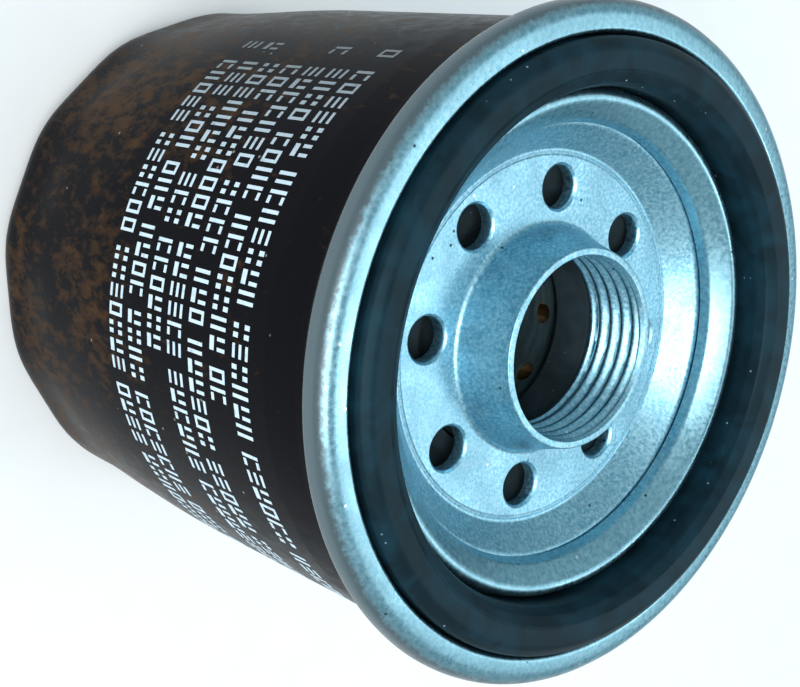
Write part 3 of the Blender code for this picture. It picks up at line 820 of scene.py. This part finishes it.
# %% Lid with its rolled seam
LID_SHEET = 0.35
lid_low = PLATE_HEIGHT + 3.175
roll_wall = RIM_RADIUS - 3.3 + LID_SHEET / 2
roll_outer = RIM_RADIUS - LID_SHEET / 2
lid_path = filleted([
    (22.35, lid_low - 0.25, 0),
    (22.7, PLATE_HEIGHT + 4.0, 0.8),
    (25.3, PLATE_HEIGHT + 6.2, 0.7),
    (25.75, lid_low, 0.35),
    (roll_wall, lid_low, 0.5),
    (roll_wall, RIM_HEIGHT - LID_SHEET / 2, 0.28),
    (roll_outer - 0.12, RIM_HEIGHT - 0.3, 1.7),
    (roll_outer, RIM_HEIGHT - 2.6, 0.5),
    (32.75, RIM_HEIGHT - 2.8, 0.4),
    (32.75, RIM_HEIGHT - 1.9, 0),
], steps=8)
lid = turned("rolled_lid", sheet(lid_path, LID_SHEET), 288)
finished(lid, lid_zinc, "housing", "zinc_plate", "seaming_lid")

# %% [markdown]
# The base plate carries the load of the whole filter. It is a thick blank: pressed into a shallow
# cone, pierced with eight inlet holes, and drawn up in the middle into a hub that is tapped M20 x
# 1.5. The body is turned. The thread is a rule on the bore wall, so a tree pushes the wall out
# along a helix: round crests, sharp roots, faded out at the mouth where the chamfer is.

# %% Base plate
BORE_RADIUS = 9.25
HUB_MOUTH_RADIUS = 10.15
HUB_FOOT_RADIUS = 11.6
THREAD_PITCH = 1.5
THREAD_SAMPLES = 90
plate_outline = filleted([
    (BORE_RADIUS, PLATE_UNDERSIDE, 0.15),
    (19.95, PLATE_UNDERSIDE, 1.2),
    (22.65, PLATE_UNDERSIDE + 2.7, 0.8),
    (30.3, PLATE_UNDERSIDE + 2.7, 0.2),
    (30.3, PLATE_HEIGHT + 2.7, 0.2),
    (22.05, PLATE_HEIGHT + 2.7, 0.9),
    (19.35, PLATE_HEIGHT, 0.45),
    (18.9, PLATE_HEIGHT + 0.12, 0.12),
    (18.65, PLATE_HEIGHT, 0.2),
    (HUB_FOOT_RADIUS + 0.15, PLATE_HEIGHT, 0.7),
    (HUB_MOUTH_RADIUS + 0.02, HUB_HEIGHT, 0.18),
    (BORE_RADIUS + 0.25, HUB_HEIGHT, 0.06),
    (BORE_RADIUS, HUB_HEIGHT - 0.4, 0.0),
], closed=True, steps=6)
bore_top = HUB_HEIGHT - 0.4
bore_low = PLATE_UNDERSIDE + 0.15
bore_points = [
    (BORE_RADIUS, bore_top + (bore_low - bore_top) * i / THREAD_SAMPLES) for i in range(1, THREAD_SAMPLES)
]
plate = turned("threaded_base_plate", plate_outline + bore_points, 256)

thread_tree, thread_in = new_tree("inside thread", {
    "Pitch": "Float", "Depth": "Float", "Bore": "Float", "Mouth": "Float", "Foot": "Float",
    "Finish": "Material",
})
spot = add(thread_tree, "GeometryNodeInputPosition").outputs[0]
xyz = add(thread_tree, "ShaderNodeSeparateXYZ", {0: spot}).outputs
angle = add(thread_tree, "ShaderNodeMath", {0: xyz[1], 1: xyz[0]}, operation="ARCTAN2").outputs[0]
turns_up = add(thread_tree, "ShaderNodeMath", {0: xyz[2], 1: thread_in["Pitch"]}, operation="DIVIDE")
half_turns = add(thread_tree, "ShaderNodeMath", {
    0: turns_up.outputs[0], 1: math.pi,
}, operation="MULTIPLY").outputs[0]
phase = add(thread_tree, "ShaderNodeMath", {0: angle, 1: -0.5, 2: half_turns}, operation="MULTIPLY_ADD")
wave = add(thread_tree, "ShaderNodeMath", {0: phase.outputs[0]}, operation="COSINE").outputs[0]
crest = add(thread_tree, "ShaderNodeMath", {0: wave}, operation="ABSOLUTE").outputs[0]
root = add(thread_tree, "ShaderNodeMath", {0: crest, 1: -1.0, 2: 1.0}, operation="MULTIPLY_ADD").outputs[0]
flat, reach = from_axis(thread_tree, spot)
from_bore = add(thread_tree, "ShaderNodeMath", {
    0: reach, 1: thread_in["Bore"], 2: 0.02 * MM,
}, operation="COMPARE").outputs[0]
below = add(thread_tree, "ShaderNodeMath", {0: thread_in["Mouth"], 1: xyz[2]}, operation="SUBTRACT")
above = add(thread_tree, "ShaderNodeMath", {0: xyz[2], 1: thread_in["Foot"]}, operation="SUBTRACT")
nearest = add(thread_tree, "ShaderNodeMath", {
    0: below.outputs[0], 1: above.outputs[0],
}, operation="MINIMUM").outputs[0]
fade = add(thread_tree, "ShaderNodeMapRange", {"Value": nearest, LOW: 0.0, HIGH: 0.5 * MM}).outputs[0]
cut_in = add(thread_tree, "ShaderNodeMath", {0: root, 1: fade}, operation="MULTIPLY").outputs[0]
on_wall = add(thread_tree, "ShaderNodeMath", {0: cut_in, 1: from_bore}, operation="MULTIPLY").outputs[0]
deep = add(thread_tree, "ShaderNodeMath", {0: on_wall, 1: thread_in["Depth"]}, operation="MULTIPLY")
outward = add(thread_tree, "ShaderNodeVectorMath", {0: flat}, operation="NORMALIZE").outputs[0]
offset = add(thread_tree, "ShaderNodeVectorMath", {
    0: outward, "Scale": deep.outputs[0],
}, operation="SCALE").outputs[0]
tapped = add(thread_tree, "GeometryNodeSetPosition", {"Geometry": thread_in["Geometry"], "Offset": offset})
close_tree(thread_tree, tapped.outputs[0], thread_in["Finish"])
run_tree(plate, thread_tree, {
    "Pitch": THREAD_PITCH * MM, "Depth": 0.62 * MM, "Bore": BORE_RADIUS * MM,
    "Mouth": bore_top * MM, "Foot": (bore_low + 0.1) * MM, "Finish": plate_zinc,
})

# %% [markdown]
# Holes that repeat round a circle are cut by one tree: a ring of points, a cutter on each, turned
# to follow the ring, and a Boolean. The inlet cutter has a wider cone above it, which leaves the
# small bright lip that a punch rolls in as it enters.

# %% Holes round a circle
pierce_tree, pierce_in = new_tree("holes round a circle", {
    "Cutter": "Object", "Holes": "Int", "Circle": "Float", "Turn": "Float", "Finish": "Material",
})
ring = add(pierce_tree, "GeometryNodeMeshCircle", {
    "Vertices": pierce_in["Holes"], "Radius": pierce_in["Circle"],
}).outputs[0]
stand = add(pierce_tree, "GeometryNodeInputPosition").outputs[0]
along = add(pierce_tree, "FunctionNodeAlignRotationToVector", {"Vector": stand}, axis="X").outputs[0]
cutter = add(pierce_tree, "GeometryNodeObjectInfo", {"Object": pierce_in["Cutter"]}).outputs["Geometry"]
around = add(pierce_tree, "ShaderNodeCombineXYZ", {2: pierce_in["Turn"]}).outputs[0]
copies = add(pierce_tree, "GeometryNodeInstanceOnPoints", {
    "Points": ring, "Instance": cutter, "Rotation": along,
}).outputs[0]
cutters = add(pierce_tree, "GeometryNodeRealizeInstances", {0: copies}).outputs[0]
swung = add(pierce_tree, "GeometryNodeTransform", {"Geometry": cutters, "Rotation": around}).outputs[0]
pierced = add(pierce_tree, "GeometryNodeMeshBoolean", {
    "Mesh 1": pierce_in["Geometry"], "Mesh 2": swung,
}, operation="DIFFERENCE", solver="EXACT")
close_tree(pierce_tree, pierced.outputs[0], pierce_in["Finish"])


def cutter_of(name, outline, steps=40, lying=False):
    """A turned cutter about Z, or about X when it lies down to cut a wall."""
    made = turned(name, outline, steps)
    if lying:
        made.data.transform(Matrix.Rotation(math.pi / 2, 4, "Y"))
    return made


def pierce(piece, finish, cutter, holes, circle, turn=0.0):
    """Cuts a ring of holes and removes the cutter."""
    run_tree(piece, pierce_tree, {
        "Cutter": cutter, "Holes": holes, "Circle": circle * MM, "Turn": turn, "Finish": finish,
    })
    bpy.data.objects.remove(cutter)
    smooth(piece.data)


INLET_RADIUS = 2.25
INLET_HOLES = 8
INLET_CIRCLE = 15.5
inlet_cutter = cutter_of("inlet_cutter", [
    (0, PLATE_UNDERSIDE - 1.0),
    (INLET_RADIUS, PLATE_UNDERSIDE - 1.0),
    (INLET_RADIUS, PLATE_HEIGHT - 0.35),
    (INLET_RADIUS + 0.08, PLATE_HEIGHT - 0.16),
    (INLET_RADIUS + 0.32, PLATE_HEIGHT + 0.02),
    (INLET_RADIUS + 0.6, PLATE_HEIGHT + 0.3),
    (0, PLATE_HEIGHT + 0.3),
])
pierce(plate, plate_zinc, inlet_cutter, INLET_HOLES, INLET_CIRCLE)
finished(plate, plate_zinc, "housing", "zinc_plate", "base_plate")

# %% [markdown]
# The gasket is one moulded ring that snaps into the lid's groove. Only its crown touches the
# engine, so the section is squarish with a softly rounded top and a shallow flat where it seals. A
# thin lip stands at the crown's inner edge, where the mould's two halves met.

# %% Gasket
GASKET_INNER = 25.95
gasket = turned("moulded_gasket", filleted([
    (GASKET_INNER, PLATE_HEIGHT + 3.65, 0.3),
    (GASKET_RADIUS, PLATE_HEIGHT + 3.65, 0.3),
    (GASKET_RADIUS, GASKET_HEIGHT - 0.75, 0.9),
    (29.6, GASKET_HEIGHT - 0.04, 1.4),
    (27.65, GASKET_HEIGHT - 0.09, 0.12),
    (27.4, GASKET_HEIGHT, 0.08),
    (26.4, GASKET_HEIGHT - 0.75, 0.6),
    (GASKET_INNER, GASKET_HEIGHT - 1.9, 0.8),
], closed=True, steps=8), 288)
finished(gasket, gasket_rubber, "housing", "nitrile_rubber", "sealing_gasket")
bead = turned("seam_bead", filleted([
    (33.25, RIM_HEIGHT - 2.5, 0.05),
    (33.55, RIM_HEIGHT - 2.5, 0.05),
    (33.55, RIM_HEIGHT - 2.15, 0.05),
    (33.25, RIM_HEIGHT - 2.15, 0.05),
], closed=True, steps=3), 144)
finished(bead, compound, "housing", "seam_compound", "seam_compound")

# %% [markdown]
# Under the plate a rubber collar seals the element to the bore, and a thin rubber skirt lies
# against the inlet holes from below. Oil coming in pushes the skirt away; when the engine stops it
# springs back and keeps the filter full. Collar and skirt move differently, so they are two pieces.

# %% Anti-drain rubber
ELEMENT_TOP = high_of("upper_end_cap")
ELEMENT_BOTTOM = low_of("lower_end_cap")
collar_top = high_of("anti_drain_collar")
collar = turned("outlet_collar", filleted([
    (9.9, ELEMENT_TOP + 0.3, 0.3),
    (12.5, ELEMENT_TOP + 0.3, 0.3),
    (12.5, ELEMENT_TOP + 2.4, 0.2),
    (12.1, ELEMENT_TOP + 2.6, 0.2),
    (12.1, collar_top - 0.8, 0.2),
    (12.5, collar_top - 0.6, 0.2),
    (12.5, collar_top, 0.2),
    (10.3, collar_top, 0.3),
    (9.9, collar_top - 0.7, 0.3),
], closed=True, steps=4), 144)
finished(collar, valve_rubber, "element", "nitrile_rubber", "anti_drain_collar")
flap_path = filleted([
    (13.0, collar_top - 2.6, 0),
    (15.0, collar_top - 2.4, 1.5),
    (18.6, collar_top - 0.75, 1.5),
    (19.6, collar_top - 0.6, 0),
], steps=6)
flap = turned("anti_drain_skirt", sheet(flap_path, 0.8), 160)
finished(flap, valve_rubber, "anti_drain_lip", "nitrile_rubber", "anti_drain_flap")

# %% [markdown]
# The element is a cage of thin parts: two pressed caps, each with a rolled stiffening bead, a ring
# of red plastisol in each, the perforated tube, the folded paper and the clip that joins its ends.

# %% End caps and plastisol
CAP_SHEET = 0.4
CAP_RADIUS = radius_of("upper_end_cap")
upper_level = ELEMENT_TOP - CAP_SHEET / 2
lower_level = ELEMENT_BOTTOM + CAP_SHEET / 2
skirt = CAP_RADIUS - CAP_SHEET / 2
upper_cap = turned("upper_cap", sheet(filleted([
    (10.4, upper_level, 0),
    (22.0, upper_level, 0.6),
    (22.6, upper_level - 0.25, 0.4),
    (24.2, upper_level - 0.25, 0.4),
    (24.8, upper_level, 0.6),
    (skirt, upper_level, 0.5),
    (skirt, ELEMENT_TOP - 3.5, 0),
], steps=5), CAP_SHEET), 160)
finished(upper_cap, tinplate, "element", "plain_steel", "upper_end_cap")
lower_cap = turned("lower_cap", sheet(filleted([
    (6.5, lower_level, 0),
    (22.0, lower_level, 0.6),
    (22.6, lower_level + 0.25, 0.4),
    (24.2, lower_level + 0.25, 0.4),
    (24.8, lower_level, 0.6),
    (skirt, lower_level, 0.5),
    (skirt, ELEMENT_BOTTOM + 3.5, 0),
], steps=5), CAP_SHEET), 160)
finished(lower_cap, tinplate, "element", "plain_steel", "lower_end_cap")


def potting(name, node):
    """A ring of plastisol whose edges crept up the metal before it cured."""
    low, high = low_of(node), high_of(node)
    inner, outer = 12.0, radius_of(node)
    piece = turned(name, filleted([
        (inner, low, 0.2), (outer, low, 0.2), (outer, high, 0.45), (inner, high, 0.45),
    ], closed=True, steps=5), 144)
    return finished(piece, plastisol, "element", "plastisol", node)


potting("upper_potting", "upper_plastisol")
potting("lower_potting", "lower_plastisol")

# %% [markdown]
# The paper is one long strip folded back and forth into 30 pleats and closed into a ring. Its
# section is a zigzag path with rounded folds. The path gets the paper's thickness and is raised to
# the strip's height in bands, so that no face is a long sliver. The clip is raised the same way.

# %% Pleated paper and clip
PLEATS = 30
PLEAT_INNER = 13.3
PLEAT_OUTER = 27.3
PAPER = 0.5
FOLD = 0.45


def pleat_path():
    """The strip's middle line, from one clipped end round the ring to the other."""
    first = math.radians(12)
    pitch = (2 * math.pi - 2 * first) / (PLEATS - 1)
    corners = [(25.6, 0.5, 0), (PLEAT_INNER + FOLD, 0.5, 0.3)]
    for index in range(PLEATS):
        angle = first + pitch * index
        tips = [(PLEAT_OUTER, angle), (PLEAT_INNER, angle + pitch / 2)]
        for radius, place in tips[:1] if index == PLEATS - 1 else tips:
            for side in (-1, 1):
                swing = place + side * FOLD / radius
                corners.append((radius * math.cos(swing), radius * math.sin(swing), 0.3))
    return filleted(corners + [(PLEAT_INNER + FOLD, -0.5, 0.3), (25.6, -0.5, 0)], steps=2)


def raised(name, outline, low, high, bands):
    """A wall of even section from a closed outline, in bands."""
    mesh_data = bmesh.new()
    rows = []
    for band in range(bands + 1):
        z = low + (high - low) * band / bands
        rows.append([mesh_data.verts.new((x * MM, y * MM, z * MM)) for x, y in outline])
    for lower, upper in zip(rows, rows[1:]):
        for i in range(len(outline)):
            mesh_data.faces.new((lower[i - 1], lower[i], upper[i], upper[i - 1]))
    mesh_data.faces.new(rows[0])
    mesh_data.faces.new(rows[-1])
    return object_of(name, mesh_data)


paper_low, paper_high = low_of("pleated_media"), high_of("pleated_media")
media = raised("pleated_paper", sheet(pleat_path(), PAPER), paper_low, paper_high, 12)
finished(media, pulp_paper, "element", "filter_paper", "pleated_media")
clip_path = filleted([(20.0, 1.25, 0), (26.3, 1.25, 0.4), (26.3, -1.25, 0.4), (20.0, -1.25, 0)])
clip = raised("folded_clip", sheet(clip_path, 0.4), paper_low, paper_high, 1)
finished(clip, tinplate, "element", "plain_steel", "pleat_clip")

# %% [markdown]
# The centre tube is strip steel, punched with five rows of holes and rolled up. Seen down the
# threaded bore it is the wall with round holes in it, dark because little light gets there. Each row
# reuses the hole tree with a cutter that lies on its side, and every other row turns by half a step.

# %% Centre tube
TUBE_RADIUS = 11.7
TUBE_WALL = 0.5
TUBE_HOLE_RADIUS = 1.2
TUBE_HOLES = 10
TUBE_ROWS = 5
TUBE_TOP_ROW = 50.0
TUBE_ROW_PITCH = 7.0
TUBE_FIRST_HOLE = math.radians(22)
tube_low, tube_high = low_of("centre_tube"), high_of("centre_tube")
tube = turned("perforated_tube", [
    (TUBE_RADIUS - TUBE_WALL, tube_low), (TUBE_RADIUS, tube_low),
    (TUBE_RADIUS, tube_high), (TUBE_RADIUS - TUBE_WALL, tube_high),
], 96)
for row in range(TUBE_ROWS):
    level = TUBE_TOP_ROW - TUBE_ROW_PITCH * row
    punch = cutter_of("punch", [
        (0, -2), (TUBE_HOLE_RADIUS, -2), (TUBE_HOLE_RADIUS, 2), (0, 2),
    ], 20, lying=True)
    punch.data.transform(Matrix.Translation((0, 0, level * MM)))
    turn = TUBE_FIRST_HOLE + row % 2 * math.pi / TUBE_HOLES
    pierce(tube, tube_steel, punch, TUBE_HOLES, TUBE_RADIUS - TUBE_WALL / 2, turn)
finished(tube, tube_steel, "element", "plain_steel", "centre_tube")

# %% [markdown]
# The bypass valve sits in the lower cap. When the paper clogs, oil lifts the nylon poppet off its
# rubber seat against a small spring held in a pressed cage with four windows.

# %% Bypass valve
seat_low, seat_high = low_of("bypass_seal"), high_of("bypass_seal")
seat = turned("bypass_seat", filleted([
    (6.8, seat_low, 0.15), (8.7, seat_low, 0.15), (8.7, seat_high, 0.25), (6.8, seat_high, 0.25),
], closed=True, steps=4), 96)
finished(seat, valve_rubber, "element", "nitrile_rubber", "bypass_seal")
disc, stem_top = low_of("bypass_poppet"), high_of("bypass_poppet")
poppet = turned("nylon_poppet", [(0, disc)] + filleted([
    (0, disc, 0), (8.4, disc, 0.2), (8.4, disc + 0.6, 0.2), (2.4, disc + 0.85, 0.6),
    (1.5, disc + 1.9, 0.6), (1.5, stem_top, 0.4), (0, stem_top, 0),
], steps=4)[1:], 96)
finished(poppet, nylon, "bypass_valve", "valve_nylon", "bypass_poppet")
CAGE_RADIUS = 9.45
cage_top = high_of("bypass_cage")
cage = turned("valve_cage", sheet(filleted([
    (10.8, seat_low + 0.25, 0),
    (CAGE_RADIUS, seat_low + 0.25, 0.3),
    (CAGE_RADIUS, cage_top - 0.25, 0.6),
    (2.0, cage_top - 0.25, 0),
], steps=5), 0.5), 96)
window = cutter_of("window", [(0, -4), (3.2, -4), (3.2, 4), (0, 4)], 24, lying=True)
window.data.transform(Matrix.Translation((0, 0, (seat_low + cage_top) / 2 * MM)))
pierce(cage, tinplate, window, 4, CAGE_RADIUS, math.radians(45))
finished(cage, tinplate, "element", "plain_steel", "bypass_cage")

# %% [markdown]
# Both coil springs are one tree: a spiral gives the wire's path, its height is eased so that the
# end turns lie nearly flat, and a circle is swept along it.

# %% Springs
coil_tree, coil_in = new_tree("coil spring", {
    "Turns": "Float", "Mean radius": "Float", "Wire": "Float", "Low": "Float", "Free height": "Float",
    "Steel": "Material",
})
path = add(coil_tree, "GeometryNodeCurveSpiral", {
    "Resolution": 48, "Rotations": coil_in["Turns"], "Start Radius": coil_in["Mean radius"],
    "End Radius": coil_in["Mean radius"], "Height": 1.0,
}).outputs[0]
spot = add(coil_tree, "GeometryNodeInputPosition").outputs[0]
xyz = add(coil_tree, "ShaderNodeSeparateXYZ", {0: spot}).outputs
lap = add(coil_tree, "ShaderNodeMath", {0: xyz[2], 1: 2 * math.pi}, operation="MULTIPLY").outputs[0]
ease = add(coil_tree, "ShaderNodeMath", {0: lap}, operation="SINE").outputs[0]
rise = add(coil_tree, "ShaderNodeMath", {
    0: ease, 1: -0.6 / (2 * math.pi), 2: xyz[2],
}, operation="MULTIPLY_ADD").outputs[0]
lifted = add(coil_tree, "ShaderNodeMath", {
    0: rise, 1: coil_in["Free height"], 2: coil_in["Low"],
}, operation="MULTIPLY_ADD").outputs[0]
eased = add(coil_tree, "ShaderNodeCombineXYZ", {0: xyz[0], 1: xyz[1], 2: lifted}).outputs[0]
bent = add(coil_tree, "GeometryNodeSetPosition", {"Geometry": path, "Position": eased}).outputs[0]
section = add(coil_tree, "GeometryNodeCurvePrimitiveCircle", {
    "Resolution": 14, "Radius": coil_in["Wire"],
}).outputs[0]
swept = add(coil_tree, "GeometryNodeCurveToMesh", {
    "Curve": bent, "Profile Curve": section, "Fill Caps": True,
}).outputs[0]
close_tree(coil_tree, swept, coil_in["Steel"])


def coil(name, node, mean_radius, wire, turns):
    """A coil spring that fills its node's height."""
    low = low_of(node) + wire
    free = high_of(node) - wire - low
    piece = empty_piece(name)
    run_tree(piece, coil_tree, {
        "Turns": turns, "Mean radius": mean_radius * MM, "Wire": wire * MM, "Low": low * MM,
        "Free height": free * MM, "Steel": spring_wire,
    })
    smooth(piece.data, 50)
    return piece


valve_spring = coil("valve_spring", "bypass_spring", 5.2, 0.45, 4.0)
finished(valve_spring, spring_wire, "element", "spring_steel", "bypass_spring")
seat_spring = coil("seating_spring", "element_spring", 11.0, 0.75, 2.5)
finished(seat_spring, spring_wire, "housing", "spring_steel", "element_spring")
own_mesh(seat_spring)
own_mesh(valve_spring)
cup_high = high_of("spring_cup")
cup = turned("spring_washer", sheet(filleted([
    (8.6, cup_high - 0.2, 0), (13.0, cup_high - 0.2, 0.4), (13.0, cup_high - 1.7, 0),
], steps=4), 0.4), 120)
finished(cup, tinplate, "element", "plain_steel", "spring_cup")
